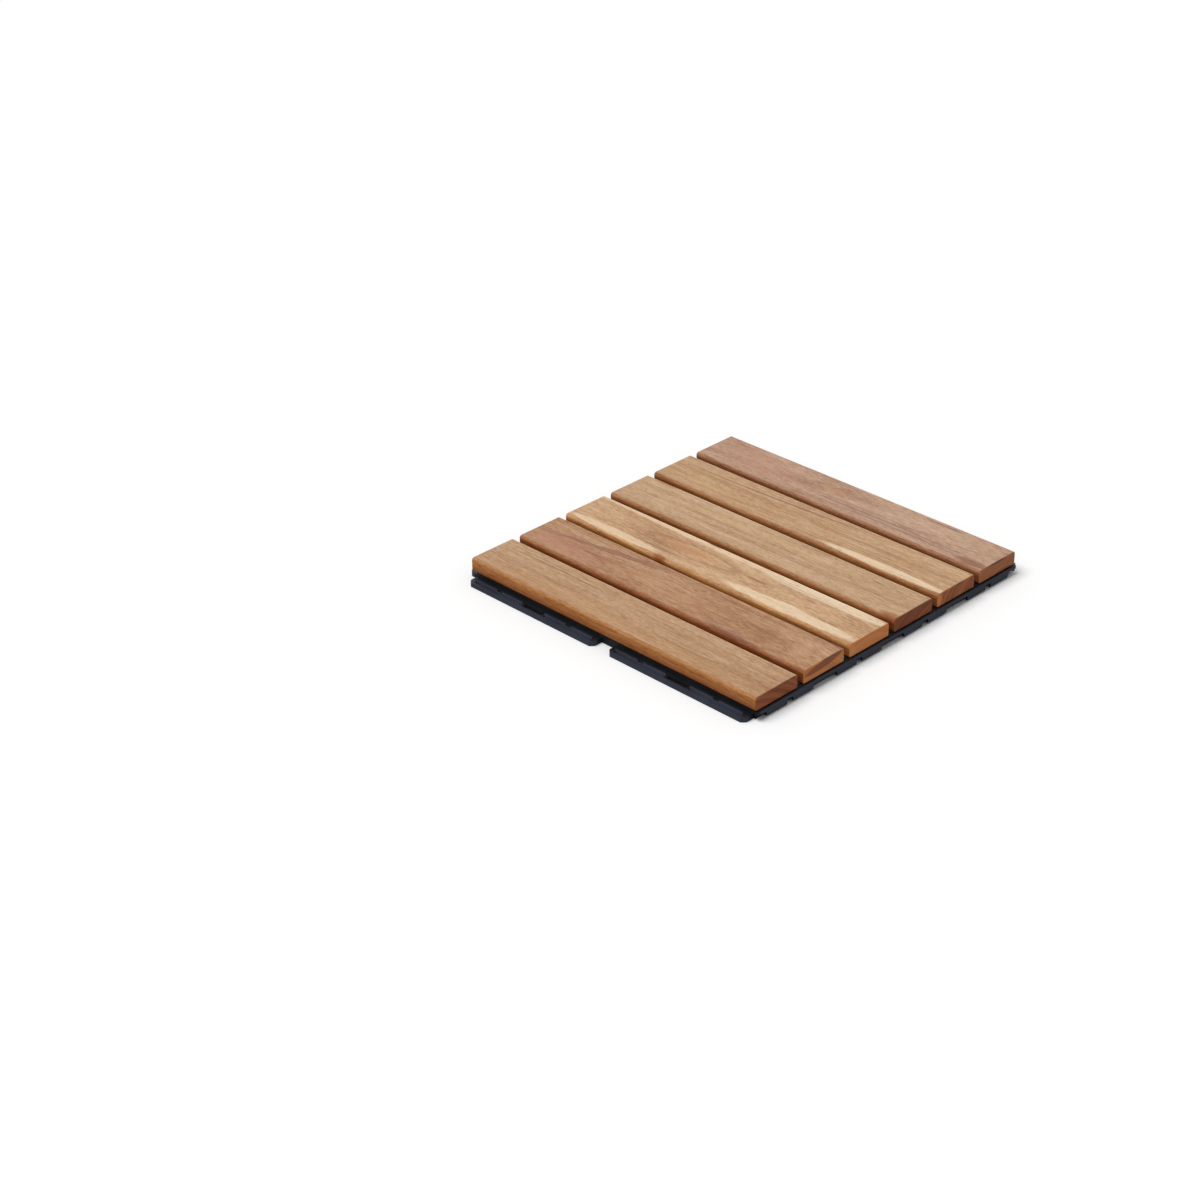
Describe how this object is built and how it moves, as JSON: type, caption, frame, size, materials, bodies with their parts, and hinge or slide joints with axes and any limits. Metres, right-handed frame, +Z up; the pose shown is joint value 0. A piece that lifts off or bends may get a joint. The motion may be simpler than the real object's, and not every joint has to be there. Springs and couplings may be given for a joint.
{
  "type": "interlocking deck tile",
  "caption": "Square outdoor floor tile of hardwood slats on a moulded rib base, with slotted flanges on two sides and hooks on the other two that join it to its neighbours.",
  "frame": {"origin": "centre of the slats' square, on the underside of the base", "axes": "+Z up out of the walking surface, X along the slats, +X and +Y towards the two sides with hooks, -X and -Y towards the two sides with slotted flanges"},
  "size_m": [0.3102, 0.3102, 0.02],
  "materials": {
    "slat_1": "oiled, light tan with orange-brown edges",
    "slat_2": "oiled, pinkish brown",
    "slat_3": "oiled, brown heart between cream sapwood bands",
    "slat_4": "oiled, olive tan",
    "slat_5": "oiled, tan with a cream sapwood stripe along the front edge",
    "slat_6": "oiled, pinkish brown",
    "base_plastic": "moulded, near black with a dull sheen",
    "screw_steel": "bright zinc"
  },
  "bodies": {
    "root": {"slat_1": "slat_1", "slat_2": "slat_2", "slat_3": "slat_3", "slat_4": "slat_4", "slat_5": "slat_5", "slat_6": "slat_6", "base_grid": "base_plastic", "slat_screws": "screw_steel"}
  },
  "joints": []
}
